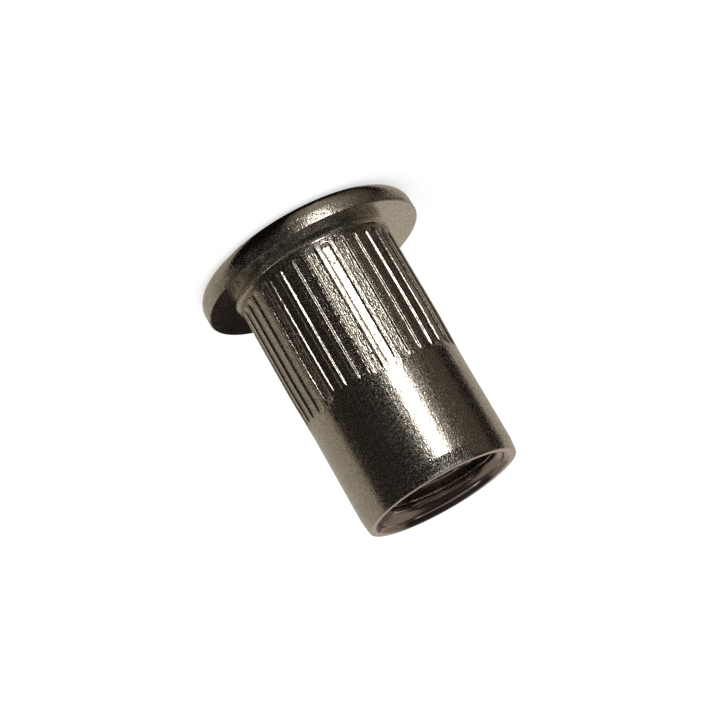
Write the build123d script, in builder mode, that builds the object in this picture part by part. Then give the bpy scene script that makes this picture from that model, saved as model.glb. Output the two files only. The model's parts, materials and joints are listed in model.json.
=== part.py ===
"""Knurled rivet nut, size M8 with a flat head: a thread for sheet metal, set from one side.

It is one piece of cold-headed stainless steel, and stands on its head: z = 0 is the flange's
outer face, and the open, threaded end points up.  A bolt comes in through the flange.  The bore
behind the flange is wide and its wall thin, so that a setting tool can draw it up into a collar
behind the sheet.  The knurl's grooves leave narrow lands that bite into the edge of the hole.
"""

import os
from math import radians, tan

from build123d import *

# Driving dimensions, in millimetres and degrees
THREAD_MAJOR = 8.0  # M8 coarse
THREAD_PITCH = 1.25
SHANK_DIAMETER = 10.9  # drops into an 11 mm hole
LENGTH = 19.0  # head face to open end
FLANGE_DIAMETER = 15.5
FLANGE_THICKNESS = 1.7
FLANGE_CROWN = 0.95  # rounding from the head face to the rim
FLANGE_EDGE_BREAK = 0.1  # small bevel at the rim's underside edge
NECK_FILLET = 0.35  # between the flange's underside and the shank

CRUSH_BORE_DIAMETER = 9.0  # wide bore behind the flange: its wall folds when the nut is set
CRUSH_BORE_DEPTH = 10.0
CRUSH_CONE_ANGLE = 45.0  # cone from the wide bore down to the thread, from the axis
HEAD_BORE_CHAMFER = 0.25

MOUTH_DIAMETER = 9.7  # countersink at the open end, across its rim
MOUTH_DEPTH = 0.5
END_CHAMFER_LENGTH = 0.35  # lead-in bevel outside the open end, along the nut...
END_CHAMFER_WIDTH = 0.15  # ...and across it

KNURL_DIAMETER = 11.1  # over the lands, a tight fit in the hole
KNURL_COUNT = 35
KNURL_START = 2.4  # tips of the grooves, just past the neck
KNURL_END = 11.4  # round ends of the grooves
KNURL_TAPER_START = 8.0  # the lands ease down to the shank's diameter from here...
KNURL_TAPER_END = 12.4  # ...to here
GROOVE_DEPTH = 0.11  # below the lands
GROOVE_FLOOR_WIDTH = 0.46
GROOVE_FLANK_ANGLE = 57.0  # flank's lean away from the floor's normal
GROOVE_TIP_LENGTH = 1.3  # pointed stretch at the flange end
GROOVE_ROUND_LENGTH = 1.2  # rounded stretch at the open end
GROOVE_TIP_RAMP = 0.6  # the floor rises over this length at the tip
GROOVE_ROUND_RAMP = 0.5  # and over this one at the round end
CUTTER_CLEARANCE = 0.04  # the groove's cutter stands this far proud of the lands

# Sizes that follow from them
SHANK_RADIUS = SHANK_DIAMETER / 2
KNURL_RADIUS = KNURL_DIAMETER / 2
FLANGE_RADIUS = FLANGE_DIAMETER / 2
CRUSH_BORE_RADIUS = CRUSH_BORE_DIAMETER / 2
MOUTH_RADIUS = MOUTH_DIAMETER / 2
THREAD_MAJOR_RADIUS = THREAD_MAJOR / 2
THREAD_MINOR_RADIUS = (THREAD_MAJOR - 1.0825 * THREAD_PITCH) / 2  # basic profile of a metric nut
CRUSH_CONE_LENGTH = (CRUSH_BORE_RADIUS - THREAD_MINOR_RADIUS) / tan(radians(CRUSH_CONE_ANGLE))
MOUTH_LEAD_IN = THREAD_MAJOR_RADIUS - THREAD_MINOR_RADIUS  # 45 degree lead into the first thread
CUTTER_HEIGHT = GROOVE_DEPTH + CUTTER_CLEARANCE
floor_plane = Plane((KNURL_RADIUS - GROOVE_DEPTH, 0, 0), x_dir=(0, 1, 0), z_dir=(1, 0, 0))

# The blank: half its section, turned about the axis.  The outline runs from the head face round
# the rim, along the neck, knurl and shank to the open end, and back down the stepped bore.
with BuildPart() as rivet_nut:
    with BuildSketch(Plane.XZ):
        with BuildLine():
            head_face = Line(
                (CRUSH_BORE_RADIUS + HEAD_BORE_CHAMFER, 0), (FLANGE_RADIUS - FLANGE_CROWN, 0)
            )
            crown = TangentArc(head_face @ 1, (FLANGE_RADIUS, FLANGE_CROWN), tangent=(1, 0))
            underside = Polyline(
                crown @ 1,
                (FLANGE_RADIUS, FLANGE_THICKNESS - FLANGE_EDGE_BREAK),
                (FLANGE_RADIUS - FLANGE_EDGE_BREAK, FLANGE_THICKNESS),
                (KNURL_RADIUS + NECK_FILLET, FLANGE_THICKNESS),
            )
            neck = TangentArc(
                underside @ 1, (KNURL_RADIUS, FLANGE_THICKNESS + NECK_FILLET), tangent=(-1, 0)
            )
            Polyline(
                neck @ 1,
                (KNURL_RADIUS, KNURL_TAPER_START),
                (SHANK_RADIUS, KNURL_TAPER_END),
                (SHANK_RADIUS, LENGTH - END_CHAMFER_LENGTH),
                (SHANK_RADIUS - END_CHAMFER_WIDTH, LENGTH),
                (MOUTH_RADIUS, LENGTH),
                (THREAD_MAJOR_RADIUS, LENGTH - MOUTH_DEPTH),
                (THREAD_MINOR_RADIUS, LENGTH - MOUTH_DEPTH - MOUTH_LEAD_IN),
                (THREAD_MINOR_RADIUS, CRUSH_BORE_DEPTH + CRUSH_CONE_LENGTH),
                (CRUSH_BORE_RADIUS, CRUSH_BORE_DEPTH),
                (CRUSH_BORE_RADIUS, HEAD_BORE_CHAMFER),
                head_face @ 0,
            )
        make_face()
    revolve(axis=Axis.Z)

# One groove's cutter: a flat floor, ramped at both ends, and flanks that lean outwards.  Its
# outline is pointed like a Gothic arch at the flange end and round at the open end.
with BuildPart() as groove:
    for rise in (0, CUTTER_HEIGHT):
        ramp_left = 1 - rise / GROOVE_DEPTH
        half_width = GROOVE_FLOOR_WIDTH / 2 + rise * tan(radians(GROOVE_FLANK_ANGLE))
        tip = KNURL_START + GROOVE_TIP_RAMP * ramp_left
        end = KNURL_END - GROOVE_ROUND_RAMP * ramp_left
        with BuildSketch(floor_plane.offset(rise)):
            with BuildLine():
                left = Line(
                    (-half_width, end - GROOVE_ROUND_LENGTH), (-half_width, tip + GROOVE_TIP_LENGTH)
                )
                right = Line(
                    (half_width, end - GROOVE_ROUND_LENGTH), (half_width, tip + GROOVE_TIP_LENGTH)
                )
                TangentArc(left @ 1, (0, tip), tangent=(0, -1))
                TangentArc(right @ 1, (0, tip), tangent=(0, -1))
                EllipticalCenterArc(
                    (0, end - GROOVE_ROUND_LENGTH), half_width, GROOVE_ROUND_LENGTH, arc_size=180
                )
            make_face()
    loft(ruled=True)

# The knurl: the same groove all round the shank
with rivet_nut:
    with PolarLocations(0, KNURL_COUNT):
        add(groove.part, mode=Mode.SUBTRACT)

rivet_nut.part.label = "rivet_nut"
os.makedirs("parts", exist_ok=True)
export_step(rivet_nut.part, "parts/rivet_nut.step")
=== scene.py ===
"""A knurled rivet nut of tumbled stainless steel, standing on its head on a pale floor."""

import json
from math import atan2, ceil, cos, degrees, pi, radians, sin, sqrt, tan

import bmesh
import bpy
import numpy as np
from mathutils import Matrix, Vector


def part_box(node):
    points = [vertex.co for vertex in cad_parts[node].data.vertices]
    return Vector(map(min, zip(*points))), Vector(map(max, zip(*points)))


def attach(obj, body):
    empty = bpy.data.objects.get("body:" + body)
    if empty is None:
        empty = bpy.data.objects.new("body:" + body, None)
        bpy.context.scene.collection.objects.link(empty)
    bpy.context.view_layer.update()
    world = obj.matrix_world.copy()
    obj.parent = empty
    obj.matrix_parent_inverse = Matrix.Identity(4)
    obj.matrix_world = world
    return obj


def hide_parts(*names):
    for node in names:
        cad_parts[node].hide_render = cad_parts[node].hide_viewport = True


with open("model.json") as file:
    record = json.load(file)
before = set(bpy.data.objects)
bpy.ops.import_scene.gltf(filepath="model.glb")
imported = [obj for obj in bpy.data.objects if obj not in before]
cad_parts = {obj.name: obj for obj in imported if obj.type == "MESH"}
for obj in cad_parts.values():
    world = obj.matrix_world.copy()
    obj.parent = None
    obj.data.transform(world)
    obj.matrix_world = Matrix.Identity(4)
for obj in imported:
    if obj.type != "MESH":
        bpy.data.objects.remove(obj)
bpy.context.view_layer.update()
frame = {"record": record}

# ---------------------------------------------------------------------------------------------
# The blank.  One cold-headed piece of stainless steel: a flat flange with a rounded rim, a short
# neck, a shank that leans in a little at its open end, and a bore that is wide behind the flange.
# Sizes are in millimetres, and an outline is a list of corners (radius, height, rounding).

MM = 0.001
mounts = {mount["name"]: mount for mount in frame["record"]["mounts"]}
nut_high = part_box("rivet_nut")[1]
LENGTH = nut_high.z / MM
FLANGE_RADIUS = nut_high.x / MM
FLANGE_THICKNESS = mounts["under_flange"]["pos_m"][2] / MM
SHANK_RADIUS = mounts["shank"]["dims"]["r_mm"]
THREAD_MINOR = mounts["thread"]["dims"]["r_mm"]
CRUSH_BORE = mounts["bolt_clearance"]["dims"]["r_mm"]
THREAD_START = mounts["thread"]["pos_m"][2] / MM - mounts["thread"]["dims"]["length_mm"] / 2
CRUSH_BORE_DEPTH = THREAD_START - (CRUSH_BORE - THREAD_MINOR)  # a 45 degree cone joins the two

KNURL_RADIUS = 5.55  # over the lands
CROWN = 0.95  # rounding from the head face to the rim
NECK_FILLET = 0.35
HEAD_BORE_CHAMFER = 0.25
PLAIN_START = 13.2  # past the knurl, the shank is a plain cylinder from here
END_TAPER_LENGTH = 0.95  # the open end leans in, so reflections along the shank stop short of it
END_TAPER_WIDTH = 0.09
END_BEVEL_LENGTH = 0.2
END_BEVEL_WIDTH = 0.05
THREAD_PITCH = 1.25
THREAD_MAJOR = THREAD_MINOR + 0.5413 * THREAD_PITCH  # a metric nut's basic profile
BELL = 0.5  # the first turn of the thread is opened out by this much
MOUTH_RADIUS = 4.88
MOUTH_DEPTH = 0.22
MOUTH_FOOT = LENGTH - MOUTH_DEPTH - 0.11  # the countersink's wall drops to the bell here

# on each flat end face, the ring where the outside stops and the ring where the inside starts
END_SEAM = (5.105, 5.045)
HEAD_SEAM = (5.725, 5.225)

ARC_STEP = 11.0  # degrees of turn per facet of a rounded corner
SUPPORT = 0.03  # an extra ring this far beyond a rounding keeps the flats beside it flat


def rounded(corners):
    """The outline's rings, (radius, height), with each inner corner replaced by an arc."""
    rings = [corners[0][:2]]
    for before, corner, after in zip(corners, corners[1:], corners[2:]):
        here = np.array(corner[:2])
        back = np.array(before[:2]) - here
        ahead = np.array(after[:2]) - here
        back = back / np.linalg.norm(back)
        ahead = ahead / np.linalg.norm(ahead)
        half_angle = np.arccos(np.clip(back @ ahead, -1, 1)) / 2
        reach = corner[2] / tan(half_angle)
        inward = (back + ahead) / np.linalg.norm(back + ahead)
        centre = here + inward * corner[2] / sin(half_angle)
        first = here + back * reach - centre
        last = here + ahead * reach - centre
        turn = pi - 2 * half_angle
        steps = max(2, ceil(degrees(turn) / ARC_STEP))
        rings.append(tuple(here + back * (reach + SUPPORT)))
        for step in range(steps + 1):
            share = step / steps
            spoke = (sin((1 - share) * turn) * first + sin(share * turn) * last) / sin(turn)
            rings.append(tuple(centre + spoke))
        rings.append(tuple(here + ahead * (reach + SUPPORT)))
    rings.append(corners[-1][:2])
    return rings


flange_rings = rounded([
    (HEAD_SEAM[0], 0, 0),
    (FLANGE_RADIUS, 0, CROWN),
    (FLANGE_RADIUS, FLANGE_THICKNESS, 0.09),
    (KNURL_RADIUS, FLANGE_THICKNESS, NECK_FILLET),
    (KNURL_RADIUS, FLANGE_THICKNESS + NECK_FILLET + SUPPORT + 0.005, 0),
])
end_rings = rounded([
    (SHANK_RADIUS, PLAIN_START, 0),
    (SHANK_RADIUS, LENGTH - END_TAPER_LENGTH, 0.6),
    (SHANK_RADIUS - END_TAPER_WIDTH, LENGTH - END_BEVEL_LENGTH, 0.15),
    (SHANK_RADIUS - END_TAPER_WIDTH - END_BEVEL_WIDTH, LENGTH, 0.04),
    (END_SEAM[0], LENGTH, 0),
])
mouth_rings = rounded([
    (END_SEAM[1], LENGTH, 0),
    (MOUTH_RADIUS, LENGTH, 0.05),
    (THREAD_MAJOR + BELL + 0.05, LENGTH - MOUTH_DEPTH, 0.16),
    (THREAD_MAJOR + BELL, MOUTH_FOOT, 0),
])
bore_rings = rounded([
    (CRUSH_BORE - 0.6, CRUSH_BORE_DEPTH + 0.6, 0),
    (CRUSH_BORE, CRUSH_BORE_DEPTH, 0.15),
    (CRUSH_BORE, HEAD_BORE_CHAMFER, 0.05),
    (CRUSH_BORE + HEAD_BORE_CHAMFER, 0, 0.06),
    (HEAD_SEAM[1], 0, 0),
])

# ---------------------------------------------------------------------------------------------
# The knurl.  Grooves pressed in along the shank leave narrow lands between them.  Each has a
# flat floor and leaning flanks, starts in a blunt point at the neck and runs out in a round end.
# Each is pressed a little differently, because the tool's teeth are worn unevenly.

KNURL_COUNT = 35
KNURL_START = 2.12
KNURL_END = 11.5
KNURL_TAPER_START = 8.0  # the lands ease down to the shank's radius from here...
KNURL_TAPER_END = 12.4  # ...to here
GROOVE_DEPTH = 0.13
GROOVE_FLOOR = 0.24  # half its width
FLANK_WIDTH = 0.145
TIP_LENGTH = 0.35
ROUND_LENGTH = 0.22
TIP_RAMP = 0.5  # the floor rises over this length at the tip
ROUND_RAMP = 0.8  # and over this one at the round end
NARROWEST = 0.05  # half a groove's width where it starts and where it ends
LAND_CROWN = 0.008  # a land's edges lie this far below its middle

FLANK = ((0, 0), (0.25, 0.15), (0.5, 0.5), (0.75, 0.85), (1, 1))  # shares inwards and downwards
FLOOR_EDGE = 0.88  # an extra point at this share of the floor's width keeps the floor flat
LAND_SHARES = (0.08, 0.36, 0.64, 0.92)
AROUND = KNURL_COUNT * (2 * len(FLANK) + 2 + len(LAND_SHARES))

wear = np.random.default_rng(35)
groove_depths = GROOVE_DEPTH * wear.uniform(0.85, 1.15, KNURL_COUNT)
groove_floors = GROOVE_FLOOR * wear.uniform(0.92, 1.06, KNURL_COUNT)
groove_starts = KNURL_START + wear.uniform(0.0, 0.12, KNURL_COUNT)
groove_ends = KNURL_END + wear.uniform(-0.08, 0.08, KNURL_COUNT)
groove_tilts = wear.uniform(-0.025, 0.025, KNURL_COUNT)
groove_lengths = groove_ends - groove_starts


def pointed(along, length, width):
    """Half the width of a Gothic arch, this far along from its point."""
    radius = (length**2 + width**2) / (2 * width)
    left = max(length - along, 0)
    return width - radius + sqrt(radius**2 - left**2) if along > 0 else 0


def round_end(along, length, width):
    """Half the width of a half ellipse, this far along from its end."""
    left = max(1 - along / length, 0)
    return width * sqrt(1 - left**2)


def land_radius(height):
    """The shank's radius over the lands, which eases down past the knurl."""
    share = np.clip((height - KNURL_TAPER_START) / (KNURL_TAPER_END - KNURL_TAPER_START), 0, 1)
    return KNURL_RADIUS + (SHANK_RADIUS - KNURL_RADIUS) * (3 - 2 * share) * share**2


def edge_width(groove, share):
    """Half a groove's width at the surface, share of the way from its tip to its end."""
    edge = groove_floors[groove] + FLANK_WIDTH
    tip = pointed(share * groove_lengths[groove], TIP_LENGTH, edge)
    end = round_end((1 - share) * groove_lengths[groove], ROUND_LENGTH, edge)
    return max(NARROWEST, min(tip, end))


def groove_points(groove, share):
    """Points across one groove, (angle, radius, height)."""
    length = groove_lengths[groove]
    height = groove_starts[groove] + share * length
    ramp = min(1.0, share * length / TIP_RAMP, (1 - share) * length / ROUND_RAMP)
    depth = groove_depths[groove] * (3 - 2 * ramp) * ramp**2
    outside = edge_width(groove, share)
    inside = outside * groove_floors[groove] / (groove_floors[groove] + FLANK_WIDTH)
    half = [(outside + (inside - outside) * inward, fall) for inward, fall in FLANK]
    half.append((inside * FLOOR_EDGE, 1))
    radius = land_radius(height)
    middle = 2 * pi * groove / KNURL_COUNT
    points = []
    for across, fall in [(-across, fall) for across, fall in half] + half[::-1]:
        surface = sqrt(radius**2 - across**2)
        floor = radius - depth + groove_tilts[groove] * across
        out = surface * (1 - fall) + floor * fall
        points.append((middle + atan2(across, out), sqrt(out**2 + across**2), height))
    return points


def land_points(groove, share):
    """Points across the land that follows one groove, (angle, radius, height)."""
    after = (groove + 1) % KNURL_COUNT
    height = groove_starts[groove] + share * groove_lengths[groove]
    next_height = groove_starts[after] + share * groove_lengths[after]
    radius = land_radius(height)
    start = 2 * pi * groove / KNURL_COUNT + edge_width(groove, share) / radius
    end = 2 * pi * (groove + 1) / KNURL_COUNT - edge_width(after, share) / radius
    points = []
    for step in LAND_SHARES:
        at = height + (next_height - height) * step
        crown = LAND_CROWN * (2 * step - 1) ** 2
        points.append((start + (end - start) * step, land_radius(at) - crown, at))
    return points


def knurl_ring(share):
    """One ring of points round the knurl, share 0 at the grooves' tips and 1 at their ends."""
    points = []
    for groove in range(KNURL_COUNT):
        points += groove_points(groove, share) + land_points(groove, share)
    return points


# rings lie closest together at the grooves' tips and round ends
tip_shares = 0.1 * np.linspace(0, 1, 15) ** 1.4
end_shares = 1 - 0.07 * np.linspace(1, 0, 15) ** 1.6
knurl_shares = np.concatenate([tip_shares, np.linspace(0.1, 0.93, 11)[1:-1], end_shares])

# ---------------------------------------------------------------------------------------------
# The thread.  A metric coarse thread, tapped right-handed from the open end, with flat crests at
# its minor diameter.  It starts in the countersink, where its first turn is opened out like a
# bell, and it runs out on the cone of the wide bore.

THREAD_ROWS = 15  # rings to a pitch
THREAD_AROUND = AROUND // 2
BELL_DEPTH = 1.1
LEAD_SLOPE = 2.5  # radius lost per height at the start of the bell
thread_low = CRUSH_BORE_DEPTH + (CRUSH_BORE - THREAD_MAJOR)
thread_high = MOUTH_FOOT - 0.01


def thread_radius(height, angle):
    """Radius of the threaded wall: crests at the minor diameter, opened out at both its ends."""
    phase = (height / THREAD_PITCH - angle / (2 * pi)) % 1.0
    from_crest = np.abs(phase - 0.5) * THREAD_PITCH
    flank = (from_crest - THREAD_PITCH / 8) * sqrt(3)
    thread = THREAD_MINOR + np.clip(flank, 0, THREAD_MAJOR - THREAD_MINOR)
    thread += BELL * max(0, 1 - (thread_high - height) / BELL_DEPTH)
    lead = THREAD_MAJOR + BELL - LEAD_SLOPE * (thread_high - height)
    run_out = CRUSH_BORE - (height - CRUSH_BORE_DEPTH)
    return np.maximum(thread, np.maximum(lead, run_out))


# ---------------------------------------------------------------------------------------------
# The whole surface.  Rings run up the outside and down the inside, and every ring is joined to
# the next, so the surface closes on itself.  The inside has half as many points to a ring, and
# the two flat end faces take up the change.

outside_angles = [angle for angle, _, _ in knurl_ring(0.5)]
inside_angles = np.arange(THREAD_AROUND) * 2 * pi / THREAD_AROUND


def plain_rings(outline, angles):
    """A ring of points at these angles for each (radius, height) of an outline."""
    return [[(angle, radius, height) for angle in angles] for radius, height in outline]


easing_heights = np.linspace(KNURL_END + 0.25, PLAIN_START - 0.2, 5)
outside_rings = plain_rings(flange_rings, outside_angles)
outside_rings += [knurl_ring(share) for share in knurl_shares]
outside_rings += plain_rings([(land_radius(z), z) for z in easing_heights], outside_angles)
outside_rings += plain_rings(end_rings, outside_angles)

inside_rings = plain_rings(mouth_rings, inside_angles)
for height in np.arange(thread_high - 0.02, thread_low, -THREAD_PITCH / THREAD_ROWS):
    thread_radii = thread_radius(height, inside_angles)
    inside_rings.append([(a, r, height) for a, r in zip(inside_angles, thread_radii)])
inside_rings += plain_rings(bore_rings, inside_angles)


def closed_surface(name, outside, inside):
    """A mesh from two stacks of rings, joined at their ends by flat faces."""
    points, faces, starts = [], [], []
    for ring in outside + inside:
        starts.append(len(points))
        points += [(r * cos(a) * MM, r * sin(a) * MM, z * MM) for a, r, z in ring]
    for stack_from, stack_to, count in (
        (0, len(outside), AROUND),
        (len(outside), len(outside) + len(inside), THREAD_AROUND),
    ):
        for ring in range(stack_from, stack_to - 1):
            low, high = starts[ring], starts[ring + 1]
            for i in range(count):
                j = (i + 1) % count
                faces.append((low + i, low + j, high + j, high + i))
    for wide, narrow in ((starts[len(outside) - 1], starts[len(outside)]), (0, starts[-1])):
        for i in range(THREAD_AROUND):
            j = (i + 1) % THREAD_AROUND
            rim = [wide + (2 * i + step) % AROUND for step in (2, 1, 0)]
            faces.append((narrow + i, narrow + j, *rim))
    mesh = bpy.data.meshes.new(name)
    mesh.from_pydata(points, [], faces)
    mesh.validate()
    return mesh


nut_mesh = closed_surface("rivet_nut_body", outside_rings, inside_rings)
nut = bpy.data.objects.new("rivet_nut_body", nut_mesh)
bpy.context.collection.objects.link(nut)
shell = bmesh.new()
shell.from_mesh(nut_mesh)
bmesh.ops.recalc_face_normals(shell, faces=shell.faces)
for face in shell.faces:
    face.smooth = True
shell.to_mesh(nut_mesh)
shell.free()

# ---------------------------------------------------------------------------------------------
# Stainless steel, tumbled after heading: bright and nearly mirror-smooth between fine pits, so
# edges of reflections stay sharp while a bright lamp scatters into specks beside its image.  The
# knurl is the roughest, but the die rubs the grooves' flanks and the flange's upper face smooth.

STEEL_COLOUR = "#cac4ba"
PIT_COLOUR = "#77705f"
GRAIN_SIZE = 0.072  # tumbling leaves a grain of about 0.02; this coarse, it shows
GRAIN_HEIGHT = 0.02
STREAK_STRETCH = 4.0  # drawing stretches part of the grain along the shank
PIT_SIZE = 0.24  # pits lie this far apart; real ones are finer and wouldn't show
KNURL_ROUGHNESS = 1.1  # share of the grain's height on the knurl and the flange
SHANK_ROUGHNESS = 0.5  # and on the plain shank
BURNISHING = 0.7  # share of it that the die rubs away
POLISHED = 0.08  # roughness of the polished spots
DULL = 0.38  # and of the dull ones


def linear(code):
    """An sRGB hex colour as linear RGBA."""
    levels = [int(code[i : i + 2], 16) / 255 for i in (1, 3, 5)]
    return [v / 12.92 if v <= 0.04045 else ((v + 0.055) / 1.055) ** 2.4 for v in levels] + [1.0]


def add_node(tree, kind, settings=None, **links):
    """Add a node with its settings, and link or set its inputs, by name or as i0, i1 and on."""
    node = tree.nodes.new(kind)
    for key, value in (settings or {}).items():
        setattr(node, key, value)
    for key, value in links.items():
        name = int(key[1:]) if key[1:].isdigit() else key.replace("_", " ")
        if isinstance(value, bpy.types.NodeSocket):
            tree.links.new(value, node.inputs[name])
        else:
            node.inputs[name].default_value = value
    return node


steel = bpy.data.materials.new("tumbled_stainless_steel")
steel.use_nodes = True
tree = steel.node_tree
place = add_node(tree, "ShaderNodeTexCoord").outputs["Object"]
spot = add_node(
    tree, "ShaderNodeVectorMath", {"operation": "SCALE"}, i0=place, Scale=1 / MM
).outputs[0]
drawn = add_node(
    tree, "ShaderNodeVectorMath", {"operation": "MULTIPLY"}, i0=spot, i1=(1, 1, 1 / STREAK_STRETCH)
).outputs[0]
grain = add_node(
    tree, "ShaderNodeTexNoise", Vector=spot, Scale=1 / GRAIN_SIZE, Detail=1.0, Roughness=0.6
)
streaks = add_node(
    tree, "ShaderNodeTexNoise", Vector=drawn, Scale=0.8 / GRAIN_SIZE, Detail=1.0, Roughness=0.5
)
pits = add_node(tree, "ShaderNodeTexVoronoi", {"feature": "F1"}, Vector=spot, Scale=1 / PIT_SIZE)
pit_shape = add_node(
    tree, "ShaderNodeMapRange", {"interpolation_type": "SMOOTHSTEP"},
    Value=pits.outputs["Distance"], From_Min=0.0, From_Max=0.4, To_Min=1.0, To_Max=0.0,
)
pit_chance = add_node(tree, "ShaderNodeSeparateColor", Color=pits.outputs["Color"])
pit_depth = add_node(
    tree, "ShaderNodeMath", {"operation": "POWER"}, i0=pit_chance.outputs[0], i1=2.5
)
pitting = add_node(
    tree, "ShaderNodeMath", {"operation": "MULTIPLY"},
    i0=pit_shape.outputs[0], i1=pit_depth.outputs[0],
)
grain_and_streaks = add_node(
    tree, "ShaderNodeMath", {"operation": "MULTIPLY_ADD"},
    i0=grain.outputs["Fac"], i1=0.45, i2=streaks.outputs["Fac"],
)
relief = add_node(
    tree, "ShaderNodeMath", {"operation": "MULTIPLY_ADD"},
    i0=pitting.outputs[0], i1=-1.0, i2=grain_and_streaks.outputs[0],
)
spot_parts = add_node(tree, "ShaderNodeSeparateXYZ", Vector=spot)
roughened = add_node(
    tree, "ShaderNodeMapRange", Value=spot_parts.outputs[2],
    From_Min=KNURL_END - 0.3, From_Max=KNURL_END + 0.2,
    To_Min=KNURL_ROUGHNESS, To_Max=SHANK_ROUGHNESS,
)
burnished = add_node(tree, "ShaderNodeAttribute", {"attribute_name": "burnish"})
relief_strength = add_node(
    tree, "ShaderNodeMath", {"operation": "MULTIPLY_ADD"},
    i0=burnished.outputs["Fac"], i1=-BURNISHING, i2=roughened.outputs[0],
)
bump = add_node(
    tree, "ShaderNodeBump",
    Strength=relief_strength.outputs[0], Distance=GRAIN_HEIGHT * MM, Height=relief.outputs[0],
)
darkened = add_node(
    tree, "ShaderNodeMapRange", {"interpolation_type": "SMOOTHSTEP"},
    Value=grain.outputs["Fac"], From_Min=0.34, From_Max=0.58, To_Min=0.8, To_Max=0.0,
)
paint = add_node(
    tree, "ShaderNodeMix", {"data_type": "RGBA"},
    i0=darkened.outputs[0], i6=linear(STEEL_COLOUR), i7=linear(PIT_COLOUR),
)
patches = add_node(
    tree, "ShaderNodeTexNoise", Vector=spot, Scale=1.1 / GRAIN_SIZE, Detail=0.0
)
dulled = add_node(
    tree, "ShaderNodeMapRange", {"interpolation_type": "SMOOTHSTEP"},
    Value=patches.outputs["Fac"], From_Min=0.46, From_Max=0.66, To_Min=POLISHED, To_Max=DULL,
)
shader = tree.nodes["Principled BSDF"]
tree.links.new(paint.outputs[2], shader.inputs["Base Color"])
tree.links.new(dulled.outputs[0], shader.inputs["Roughness"])
tree.links.new(bump.outputs[0], shader.inputs["Normal"])
shader.inputs["Metallic"].default_value = 1.0
nut_mesh.materials.append(steel)

# the burnished places are each flank's middle and the flange's upper face with the neck
falls = [fall for _, fall in FLANK] + [1]
one_groove = [4 * fall * (1 - fall) for fall in falls + falls[::-1]] + [0] * len(LAND_SHARES)
knurl_from = AROUND * len(flange_rings)
knurl_to = knurl_from + AROUND * len(knurl_shares)
burnish = np.zeros(len(nut_mesh.vertices))
burnish[:knurl_from] = np.repeat([z > FLANGE_THICKNESS - 0.02 for _, z in flange_rings], AROUND)
burnish[knurl_from:knurl_to] = np.tile(one_groove, KNURL_COUNT * len(knurl_shares))
nut_mesh.attributes.new("burnish", "FLOAT", "POINT").data.foreach_set("value", burnish)

# ---------------------------------------------------------------------------------------------
# Stainless steel, turned and tapped after tumbling: the open end's face, its countersink and the
# thread.  It is smooth, with the faint rings that the tool leaves, so it reflects cleanly.

TURNED_COLOUR = "#c0b5ad"
TURNED_ROUGHNESS = 0.16
TOOL_MARK = 0.07
TOOL_MARK_HEIGHT = 0.0012

turned = bpy.data.materials.new("turned_stainless_steel")
turned.use_nodes = True
tree = turned.node_tree
place = add_node(tree, "ShaderNodeTexCoord").outputs["Object"]
place_parts = add_node(tree, "ShaderNodeSeparateXYZ", Vector=place)
flat = add_node(
    tree, "ShaderNodeCombineXYZ", X=place_parts.outputs[0], Y=place_parts.outputs[1]
)
from_axis = add_node(tree, "ShaderNodeVectorMath", {"operation": "LENGTH"}, i0=flat.outputs[0])
profile = add_node(
    tree, "ShaderNodeCombineXYZ", X=from_axis.outputs["Value"], Y=place_parts.outputs[2]
)
marks = add_node(
    tree, "ShaderNodeTexNoise", Vector=profile.outputs[0], Scale=1 / (TOOL_MARK * MM), Detail=2.0
)
bump = add_node(
    tree, "ShaderNodeBump", Strength=1.0, Distance=TOOL_MARK_HEIGHT * MM, Height=marks.outputs[0]
)
shader = tree.nodes["Principled BSDF"]
tree.links.new(bump.outputs[0], shader.inputs["Normal"])
shader.inputs["Base Color"].default_value = linear(TURNED_COLOUR)
shader.inputs["Metallic"].default_value = 1.0
shader.inputs["Roughness"].default_value = TURNED_ROUGHNESS
nut_mesh.materials.append(turned)
for polygon in nut_mesh.polygons:
    height = polygon.center.z / MM
    in_bore = polygon.center.xy.length / MM < MOUTH_RADIUS and height > THREAD_START
    if in_bore or height > LENGTH - 0.03:
        polygon.material_index = 1

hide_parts("rivet_nut")
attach(nut, "root")

# ---------------------------------------------------------------------------------------------
# The camera looks a little down on the open end and is turned so that the nut hangs head up and
# to the left.  Sizes are in millimetres, and angles are in degrees.

VIEW_AZIMUTH = -88.8
VIEW_FROM_AXIS = 74.1
VIEW_DISTANCE = 135.0
VIEW_ROLL = 150.0
AIM_ASIDE = 0.372
AIM_HEIGHT = 8.63
LENS = 104.33

camera = bpy.data.objects.new("camera", bpy.data.cameras.new("camera"))
bpy.context.collection.objects.link(camera)
camera.data.lens = LENS
camera.data.clip_start = 0.01
towards = Matrix.Rotation(radians(VIEW_AZIMUTH), 3, "Z")
arm = Vector((sin(radians(VIEW_FROM_AXIS)), 0, cos(radians(VIEW_FROM_AXIS))))
position = towards @ (Vector((0, 0, LENGTH / 2)) + arm * VIEW_DISTANCE)
aim = towards @ Vector((0, AIM_ASIDE, AIM_HEIGHT))
camera.location = position * MM
upright = (aim - position).to_track_quat("-Z", "Y").to_matrix()
camera.rotation_euler = (upright @ Matrix.Rotation(radians(VIEW_ROLL), 3, "Z")).to_euler()
bpy.context.scene.camera = camera

# ---------------------------------------------------------------------------------------------
# The floor is matt white paper under an even white surround.  It is a mid grey that glows when
# it is seen, so it looks white and still keeps the nut's soft shadow.

FLOOR_HALF = 1.5  # metres
PAPER_COLOUR = "#b4b4b4"
PAPER_GLOW = 0.62
SURROUND_LIGHT = 0.85

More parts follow.
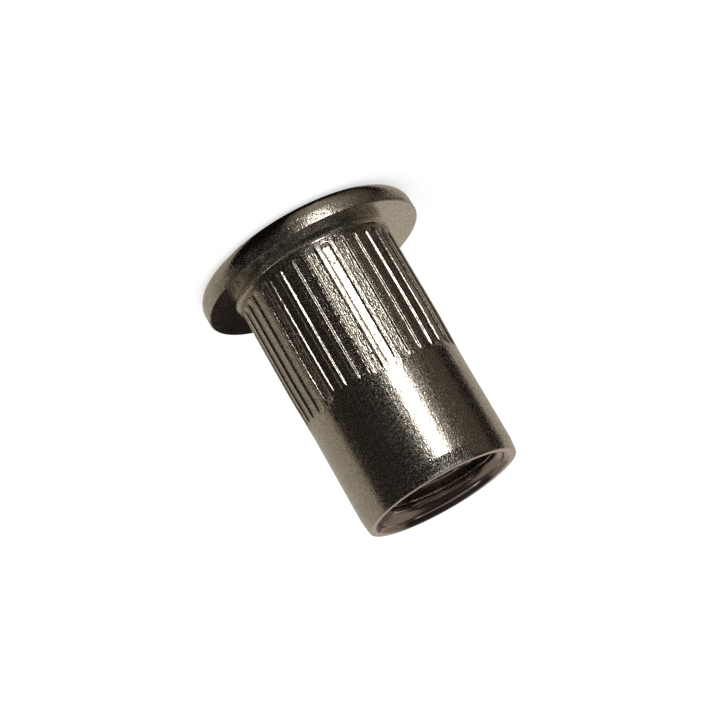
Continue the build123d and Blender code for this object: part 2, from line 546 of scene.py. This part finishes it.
floor_mesh = bpy.data.meshes.new("floor")
floor_mesh.from_pydata(
    [(x * FLOOR_HALF, y * FLOOR_HALF, 0) for x, y in ((-1, -1), (1, -1), (1, 1), (-1, 1))],
    [], [(0, 1, 2, 3)],
)
floor = bpy.data.objects.new("floor", floor_mesh)
bpy.context.collection.objects.link(floor)


def seen_directly(tree):
    """1 for rays from the camera, a mirror or glass, and 0 for light that only falls on things."""
    path = add_node(tree, "ShaderNodeLightPath")
    mirrored = add_node(
        tree, "ShaderNodeMath", {"operation": "MAXIMUM"},
        i0=path.outputs["Is Glossy Ray"], i1=path.outputs["Is Transmission Ray"],
    )
    return add_node(
        tree, "ShaderNodeMath", {"operation": "MAXIMUM"},
        i0=path.outputs["Is Camera Ray"], i1=mirrored.outputs[0],
    ).outputs[0]


paper = bpy.data.materials.new("white_paper_floor")
paper.use_nodes = True
tree = paper.node_tree
shader = tree.nodes["Principled BSDF"]
shader.inputs["Base Color"].default_value = linear(PAPER_COLOUR)
shader.inputs["Roughness"].default_value = 0.9
shader.inputs["Specular IOR Level"].default_value = 0.0
shader.inputs["Emission Color"].default_value = linear("#ffffff")
glow = add_node(
    tree, "ShaderNodeMath", {"operation": "MULTIPLY"}, i0=seen_directly(tree), i1=PAPER_GLOW
)
tree.links.new(glow.outputs[0], shader.inputs["Emission Strength"])
floor_mesh.materials.append(paper)

world = bpy.data.worlds.new("white_surround")
bpy.context.scene.world = world
world.use_nodes = True
tree = world.node_tree
background = tree.nodes["Background"]
shade = add_node(
    tree, "ShaderNodeMapRange", Value=seen_directly(tree), To_Min=SURROUND_LIGHT, To_Max=1.0
)
tree.links.new(shade.outputs[0], background.inputs["Strength"])
background.inputs["Color"].default_value = linear("#ffffff")

# ---------------------------------------------------------------------------------------------
# The cards on the floor.  Painted cards lie close round the nut and are seen only in its
# reflections: dark, brown and beige ones, and a narrow strip lamp.  Each is laid out by the
# angles between which the nut shows it, row by row: (radius, height, tilt), from, to.


def card_paint(name, colour_from, colour_to, strength):
    """A plain glowing paint, even or fading along the card's "fade" attribute."""
    paint = bpy.data.materials.new(name)
    paint.use_nodes = True
    tree = paint.node_tree
    tree.nodes.clear()
    along = add_node(tree, "ShaderNodeAttribute", {"attribute_name": "fade"})
    blend = add_node(
        tree, "ShaderNodeMix", {"data_type": "RGBA"},
        i0=along.outputs["Fac"], i6=linear(colour_from), i7=linear(colour_to),
    )
    light = add_node(tree, "ShaderNodeEmission", Color=blend.outputs[2], Strength=strength)
    add_node(tree, "ShaderNodeOutputMaterial", Surface=light.outputs[0])
    return paint


def card(name, columns, colour_from, colour_to=None, strength=1.0):
    """A card through columns of points, in millimetres, seen only in reflections."""
    mesh = bpy.data.meshes.new(name)
    rows = len(columns[0])
    points = [Vector(point) * MM for column in columns for point in column]
    faces = [
        (rows * i + j, rows * (i + 1) + j, rows * (i + 1) + j + 1, rows * i + j + 1)
        for i in range(len(columns) - 1)
        for j in range(rows - 1)
    ]
    mesh.from_pydata(points, [], faces)
    fade = mesh.attributes.new("fade", "FLOAT", "POINT")
    shares = [i / (len(columns) - 1) for i in range(len(columns)) for _ in range(rows)]
    fade.data.foreach_set("value", shares)
    mesh.materials.append(card_paint(name, colour_from, colour_to or colour_from, strength))
    made = bpy.data.objects.new(name, mesh)
    bpy.context.collection.objects.link(made)
    made.visible_camera = made.visible_diffuse = made.visible_shadow = False
    made.visible_transmission = made.visible_volume_scatter = False


def crown_row(tilt):
    """Radius, height and tilt of the crown where it faces this far down."""
    turn = radians(tilt)
    return FLANGE_RADIUS - CROWN * (1 - cos(turn)), CROWN * (1 - sin(turn)), tilt


RIM = crown_row(0)
RIM_FOOT = (FLANGE_RADIUS, 1.4, 0)
SHANK_FOOT = (SHANK_RADIUS, 2.2, 0)
LAMP_FOOT = (SHANK_RADIUS, 4.0, 0)
FAR_EDGE = (SHANK_RADIUS, 20.5, 0)  # past the open end, so every reflection along it is filled
WALL_FOOT = (SHANK_RADIUS, 20.4, 0)  # the dark wall behind the lamp has a narrow foot from here
LAMP_LEFT = -16.8
LAMP_RIGHT = -7.8
LAMP_STRENGTH = 7.0
LAMP_FOOT_STRENGTH = 6.0
LAMP_STAND = 7.0


def shown_floor(angle, radius, height, tilt, lift):
    """The floor point that the camera sees mirrored in the nut, at this place on its surface."""
    flat = towards @ Vector((cos(radians(angle)), sin(radians(angle)), 0))
    start = flat * radius + Vector((0, 0, height))
    normal = flat * cos(radians(tilt)) - Vector((0, 0, sin(radians(tilt))))
    way = (start - position).normalized().reflect(normal)
    return start + way * ((lift - height) / way.z)


def floor_card(name, spans, *paint, lift=0.02, stand=34.0):
    """A card on the floor that fills the reflections between two angles, row by row.

    It lies lift above the floor, and one that reaches the far edge has a wall there, stand high.
    """
    columns = [
        [shown_floor(left + (right - left) * share, *row, lift) for row, left, right in spans]
        for share in np.linspace(0, 1, 9)
    ]
    if spans[-1][0] == FAR_EDGE:
        columns = [column + [column[-1] + Vector((0, 0, stand))] for column in columns]
    card(name, columns, *paint)


floor_card("crown_shade", [
    (crown_row(76), -42, 22), (crown_row(68), -50, 30), (crown_row(20), -60, 40),
    (RIM_FOOT, -61, 41),
], "#120f0e")
floor_card("beige_card_left", [
    (crown_row(56), -89, -38), (crown_row(46), -89, -42), (crown_row(36), -89, -47),
    (crown_row(17), -89, -54), (RIM, -89, -59), (RIM_FOOT, -89, -60),
    (SHANK_FOOT, -89, -61), (FAR_EDGE, -89, -61),
], "#c8c1b5", "#b9b0a3", lift=0.04)
floor_card("beige_card_right", [
    (crown_row(56), 18, 89), (crown_row(46), 22, 89), (crown_row(36), 27, 89),
    (crown_row(17), 34, 89), (RIM, 39, 89), (RIM_FOOT, 40, 89),
    (SHANK_FOOT, 43, 89), (FAR_EDGE, 43, 89),
], "#ada497", "#cbc7bb", lift=0.04)
floor_card("dark_card_left", [
    (RIM_FOOT, -59, -46), (SHANK_FOOT, -61, -47.5), (FAR_EDGE, -61, -47.5),
], "#1f1a1a")
floor_card("brown_card", [
    (crown_row(34), -36, -28), (crown_row(17), -44, -26), (RIM, -47, -20), (RIM_FOOT, -46, -17),
    (SHANK_FOOT, -47.5, LAMP_LEFT), (FAR_EDGE, -47.5, LAMP_LEFT),
], "#574f45", lift=0.03)
floor_card("dark_card_right", [
    (RIM_FOOT, LAMP_RIGHT, 38), (SHANK_FOOT, LAMP_RIGHT, 43), (FAR_EDGE, LAMP_RIGHT, 43),
], "#2f2a26", "#2c2622")
floor_card("light_foot_left", [
    (crown_row(32), -26, -16), (crown_row(17), -34, -16), (RIM, -44, -15), (RIM_FOOT, -46, -15),
], "#574f45", "#aea79a", lift=0.05)
floor_card("light_foot_right", [
    (crown_row(32), -16, -2), (crown_row(17), -16, 2), (RIM, -15, 5), (RIM_FOOT, -15, 5),
], "#aea79a", "#38322e", lift=0.05)
floor_card("strip_glow_left", [
    (RIM_FOOT, -29, LAMP_LEFT), (SHANK_FOOT, -29, LAMP_LEFT), (FAR_EDGE, -29, LAMP_LEFT),
], "#574f45", "#c4bdb0", lift=0.05, stand=LAMP_STAND)
floor_card("strip_glow_right", [
    (RIM_FOOT, LAMP_RIGHT, 1), (SHANK_FOOT, LAMP_RIGHT, 1), (FAR_EDGE, LAMP_RIGHT, 1),
], "#8d877a", "#38322e", lift=0.05, stand=LAMP_STAND)
floor_card("strip_foot", [
    (RIM_FOOT, -17, LAMP_RIGHT), (SHANK_FOOT, LAMP_LEFT, LAMP_RIGHT),
    (LAMP_FOOT, LAMP_LEFT, LAMP_RIGHT),
], "#ffffff", "#ffffff", LAMP_FOOT_STRENGTH, lift=0.06)
floor_card("strip_lamp", [
    (LAMP_FOOT, LAMP_LEFT, LAMP_RIGHT), (FAR_EDGE, LAMP_LEFT, LAMP_RIGHT),
], "#ffffff", "#ffffff", LAMP_STRENGTH, lift=0.06, stand=LAMP_STAND)
floor_card("strip_lamp_end", [(WALL_FOOT, -32, 4), (FAR_EDGE, -32, 4)], "#38312e", lift=0.01)

# ---------------------------------------------------------------------------------------------
# The hood stands round and above the floor cards, dark in front and paler towards its back,
# which is open below.  It holds a pale light for the thread and a small window for the rim.

HOOD_RADIUS = 118.0
HOOD_TOP = 150.0
FRONT_TOP = 105.0
BACK_FOOT = 64.0
RIM_WINDOW_STRENGTH = 1.5


def arch(azimuth_from, azimuth_to, low, high, radius=HOOD_RADIUS):
    """Columns of a curved wall round the stage; azimuths are measured from the camera's."""
    columns = []
    for azimuth in np.linspace(azimuth_from, azimuth_to, 15):
        out = towards @ Vector((cos(radians(azimuth)), sin(radians(azimuth)), 0)) * radius
        columns.append([out + Vector((0, 0, low)), out + Vector((0, 0, high))])
    return columns


card("hood_front", arch(-75, 75, 0, FRONT_TOP), "#1f1b19")
card("thread_light", arch(-60, 60, FRONT_TOP, HOOD_TOP), "#a0978e")
card("rim_window", arch(-56, 4, 48, 55, HOOD_RADIUS - 6), "#ffffff", strength=RIM_WINDOW_STRENGTH)
card("hood_left", arch(-165, -75, 0, HOOD_TOP), "#968d80", "#1f1b19")
card("hood_right", arch(75, 165, 0, HOOD_TOP), "#1f1b19", "#8f867b")
card("hood_back", arch(165, 195, BACK_FOOT, HOOD_TOP), "#8a8178")
card("pink_back", arch(95, 265, 37, BACK_FOOT), "#c4b5ab")
roof = Vector((0, 0, HOOD_TOP))
corner = towards @ Vector((HOOD_RADIUS, HOOD_RADIUS, 0))
side_corner = towards @ Vector((HOOD_RADIUS, -HOOD_RADIUS, 0))
card("hood_top", [
    [roof - corner, roof + side_corner], [roof - side_corner, roof + corner]
], "#2b2421")

# ---------------------------------------------------------------------------------------------
# Small flags close behind the nut.  The flange's upper face shows the low ones, one dark and one
# beige, and the far side of the open end's ring shows the high ones.

FLAGS_BEHIND = 7.5
LOW_FLAGS = (1.8, 9.0)  # heights of their lower and upper edges
HIGH_FLAGS = (14.0, 21.0)

behind = towards @ Vector((-FLAGS_BEHIND, 0, 0))
aside = towards @ Vector((0, 1, 0))
for name, start, end, heights, colour_from, colour_to in (
    ("dark_flag_low", 4.6, 8.6, LOW_FLAGS, "#1d1816", "#1d1816"),
    ("beige_flag_low", -10.0, -4.6, LOW_FLAGS, "#d0c8bb", "#d0c8bb"),
    ("dark_flag_high", -0.8, 3.0, HIGH_FLAGS, "#67605c", "#544d49"),
    ("fading_flag_left", -4.2, -0.8, HIGH_FLAGS, "#cbbfb6", "#67605c"),
    ("fading_flag_right", 3.0, 4.9, HIGH_FLAGS, "#544d49", "#cbbfb6"),
):
    columns = [[behind + aside * y + Vector((0, 0, z)) for z in heights] for y in (start, end)]
    card(name, columns, colour_from, colour_to)

# ---------------------------------------------------------------------------------------------
# One soft box hangs above the nut on the camera's side, aimed at its head, and gives the shadow
# on the floor its direction.  Its sizes are in metres.

SOFT_BOX_SIZE = 0.25
SOFT_BOX_POWER = 0.35
SOFT_BOX_PLACE = Vector((0.1, -0.12, 0.3))

soft_box = bpy.data.objects.new("soft_box", bpy.data.lights.new("soft_box", "AREA"))
bpy.context.collection.objects.link(soft_box)
soft_box.data.shape = "SQUARE"
soft_box.data.size = SOFT_BOX_SIZE
soft_box.data.energy = SOFT_BOX_POWER
soft_box.location = SOFT_BOX_PLACE
soft_box.rotation_euler = (-SOFT_BOX_PLACE).to_track_quat("-Z", "Y").to_euler()

bpy.context.scene.view_settings.view_transform = "Standard"
